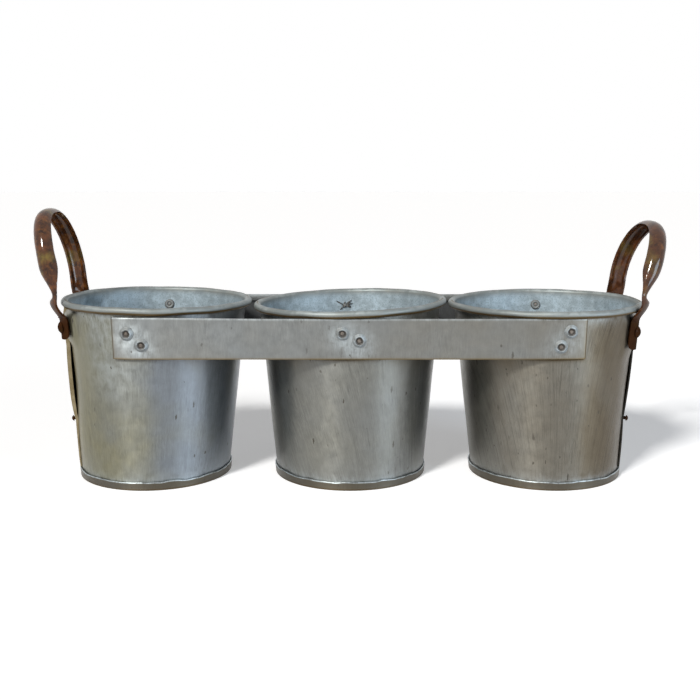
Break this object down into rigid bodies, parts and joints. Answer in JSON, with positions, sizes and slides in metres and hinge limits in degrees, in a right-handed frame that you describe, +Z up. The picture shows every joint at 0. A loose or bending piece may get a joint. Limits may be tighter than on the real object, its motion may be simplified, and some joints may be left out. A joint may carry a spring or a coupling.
{
  "type": "indoor herb planter",
  "caption": "Row of tapered zinc-coated sheet metal herb pots with wired rims, held between riveted straps, with a bent steel carrying handle at each end.",
  "frame": {"origin": "on the resting surface, under the middle of the row of pots", "axes": "+X along the row of pots towards the right end, +Y towards the back, +Z up"},
  "size_m": [0.4487, 0.14, 0.1903],
  "materials": {
    "zinc_sheet": "weathered zinc coating, satin",
    "zinc_strap": "weathered zinc coating, satin",
    "rim_wire": "drawn wire, satin",
    "rivet_head": "dull, pressed",
    "rivet_pin": "rusty broken end",
    "seam_rivet": "rusty brown",
    "handle": "rust brown under a clear gloss lacquer"
  },
  "bodies": {
    "root": {"left_pot_wall": "zinc_sheet", "middle_pot_wall": "zinc_sheet", "right_pot_wall": "zinc_sheet", "left_rim_wire": "rim_wire", "middle_rim_wire": "rim_wire", "right_rim_wire": "rim_wire", "left_pot_base": "zinc_sheet", "middle_pot_base": "zinc_sheet", "right_pot_base": "zinc_sheet", "front_strap": "zinc_strap", "back_strap": "zinc_strap", "front_strap_rivets": "rivet_head", "front_strap_rivet_pins": "rivet_pin", "back_strap_rivets": "rivet_head", "back_strap_rivet_pins": "rivet_pin", "left_seam_rivet": "seam_rivet", "middle_seam_rivet": "seam_rivet", "right_seam_rivet": "seam_rivet", "left_handle": "handle", "right_handle": "handle", "left_handle_rivets": "handle", "right_handle_rivets": "handle"}
  },
  "joints": []
}
